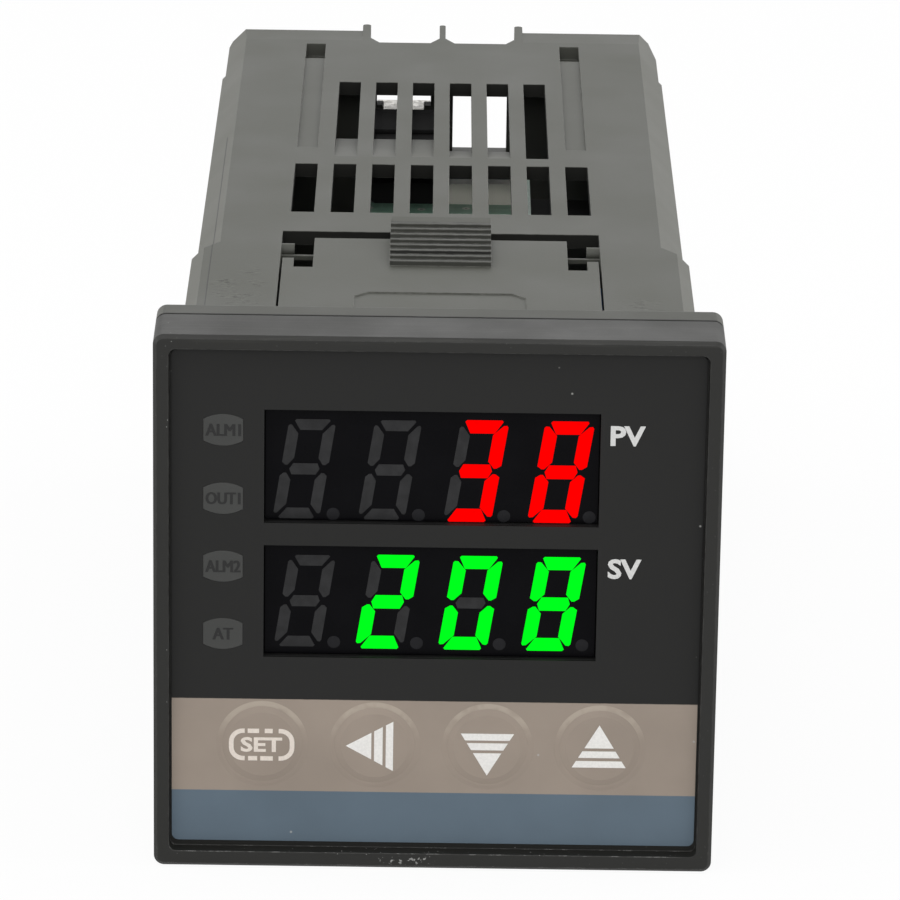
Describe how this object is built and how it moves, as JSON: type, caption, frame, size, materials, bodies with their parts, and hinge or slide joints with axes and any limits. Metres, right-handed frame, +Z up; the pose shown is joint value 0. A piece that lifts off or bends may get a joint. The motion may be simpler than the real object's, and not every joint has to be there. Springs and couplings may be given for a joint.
{
  "type": "pid temperature controller",
  "caption": "Square panel-mounted temperature controller with stacked digit displays, round keys, a long vented case and rear screw terminals.",
  "frame": {"origin": "centre of the panel cut-out in the plane of the panel's front face, which the flange's rear face meets", "axes": "+X to the right as seen from the front, +Y back through the panel towards the terminals, +Z up"},
  "size_m": [0.048, 0.1081, 0.048],
  "materials": {
    "case_plastic": "fine moulded texture, satin",
    "frame_plastic": "fine moulded texture, satin",
    "face_film": "printed film, charcoal above, taupe and blue-grey bands below",
    "lamp_window": "smoked, unlit",
    "display_lens": "smoked glossy face over lit segments",
    "key_film": "printed film, satin",
    "switch_plastic": "plain",
    "plunger_plastic": "plain",
    "circuit_board": "solder mask, satin",
    "connector_plastic": "plain",
    "terminal_metal": "tin plated",
    "screw_metal": "zinc plated",
    "core_steel": "varnished laminations",
    "bobbin_plastic": "plain",
    "winding_tape": "wrapped tape, satin",
    "capacitor_sleeve": "shrunk sleeve",
    "relay_plastic": "plain",
    "chip_plastic": "matte moulded epoxy",
    "crystal_can": "drawn can"
  },
  "bodies": {
    "housing": {"case": "case_plastic", "terminal_contacts_left": "terminal_metal", "terminal_contacts_right": "terminal_metal", "terminal_contact_top": "terminal_metal", "terminal_clamps": "terminal_metal", "terminal_screws": "screw_metal"},
    "chassis": {"front_frame": "frame_plastic", "face_film": "face_film", "lamp_windows": "lamp_window", "display_upper": "display_lens", "display_lower": "display_lens", "indicator_leds": "connector_plastic", "switch_bodies": "switch_plastic", "display_board": "circuit_board", "power_board": "circuit_board", "main_board": "circuit_board", "board_sockets": "connector_plastic", "option_board": "circuit_board", "option_header": "switch_plastic", "option_connector": "switch_plastic", "option_relay": "connector_plastic", "transformer_core": "core_steel", "transformer_bobbin": "bobbin_plastic", "transformer_winding": "winding_tape", "mains_capacitor": "capacitor_sleeve", "small_capacitors": "capacitor_sleeve", "output_relay": "relay_plastic", "alarm_relay": "relay_plastic", "microcontroller": "chip_plastic", "memory_chip": "chip_plastic", "rectifier": "chip_plastic", "crystal": "crystal_can"},
    "set_key": {"key_set": "key_film", "plunger_set": "plunger_plastic"},
    "shift_key": {"key_shift": "key_film", "plunger_shift": "plunger_plastic"},
    "down_key": {"key_down": "key_film", "plunger_down": "plunger_plastic"},
    "up_key": {"key_up": "key_film", "plunger_up": "plunger_plastic"}
  },
  "joints": [
    {"name": "chassis_draw_out", "type": "slide", "parent": "housing", "child": "chassis", "axis": [0, -1, 0], "range_m": [0, 0.09]},
    {"name": "set_key_press", "type": "slide", "parent": "chassis", "child": "set_key", "axis": [0, 1, 0], "range_m": [0, 0.0003], "stiffness_N_per_m": 1500, "springref_m": -0.0003},
    {"name": "shift_key_press", "type": "slide", "parent": "chassis", "child": "shift_key", "axis": [0, 1, 0], "range_m": [0, 0.0003], "stiffness_N_per_m": 1500, "springref_m": -0.0003},
    {"name": "down_key_press", "type": "slide", "parent": "chassis", "child": "down_key", "axis": [0, 1, 0], "range_m": [0, 0.0003], "stiffness_N_per_m": 1500, "springref_m": -0.0003},
    {"name": "up_key_press", "type": "slide", "parent": "chassis", "child": "up_key", "axis": [0, 1, 0], "range_m": [0, 0.0003], "stiffness_N_per_m": 1500, "springref_m": -0.0003}
  ]
}
